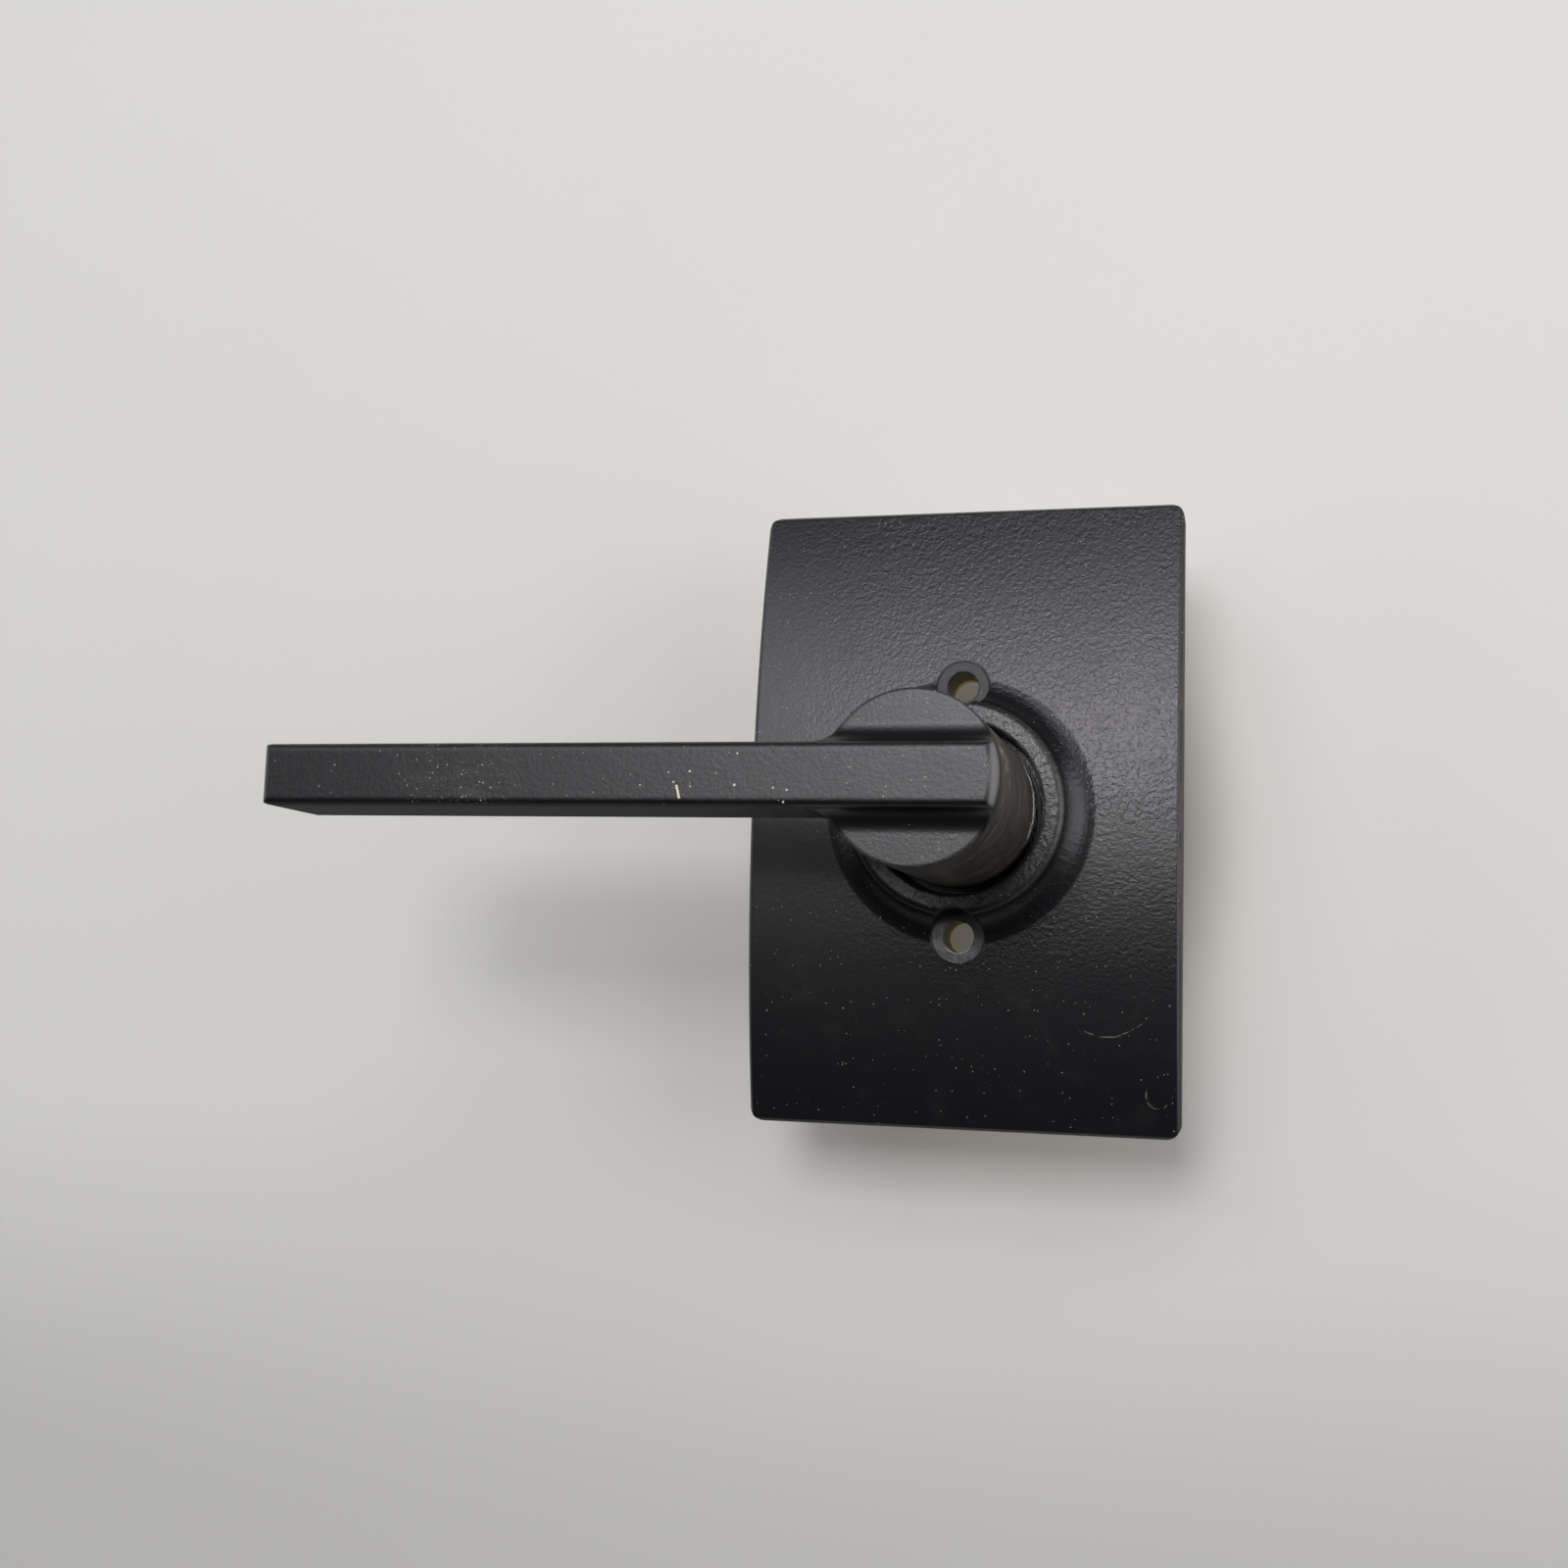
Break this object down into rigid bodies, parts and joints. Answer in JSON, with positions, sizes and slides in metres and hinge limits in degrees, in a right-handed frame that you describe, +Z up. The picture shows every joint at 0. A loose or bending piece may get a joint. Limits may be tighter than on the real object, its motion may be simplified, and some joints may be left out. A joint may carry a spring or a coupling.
{
  "type": "door lever handleset trim",
  "caption": "Inside trim of an entry door handleset: a straight bar lever on a round hub and shank, turning in an arched rectangular rose with two screw seats, matte black.",
  "frame": {"origin": "on the lever's axis, in the plane of the door's face behind the rose", "axes": "+Z up along the rose, +Y into the door along the spindle, -X towards the lever's tip"},
  "size_m": [0.1355, 0.0845, 0.104],
  "materials": {
    "black_cast": "matte orange-peel powder coat",
    "black_lever": "satin powder coat",
    "nylon": "matte",
    "yellow_zinc": "yellow chromate",
    "zinc_steel": "satin zinc",
    "spring_steel": "oiled",
    "dark_steel": "black phosphate"
  },
  "bodies": {
    "rose": {"rose": "black_cast", "bushing": "nylon", "wave_washer": "spring_steel", "mounting_sleeves": "yellow_zinc", "back_plate": "yellow_zinc", "back_plate_screws": "zinc_steel", "spring_cage": "zinc_steel", "cage_rivets": "zinc_steel", "return_spring": "spring_steel"},
    "lever": {"lever": "black_lever", "drive_plate": "zinc_steel", "thrust_washer": "zinc_steel", "retaining_ring": "dark_steel", "spindle": "zinc_steel", "spindle_pin": "spring_steel"}
  },
  "joints": [
    {"name": "lever_turn", "type": "hinge", "parent": "rose", "child": "lever", "pos_m": [0, 0, 0], "axis": [0, -1, 0], "range_deg": [-50, 50], "stiffness_Nm_per_rad": 2.5, "deforming": ["return_spring"]}
  ]
}
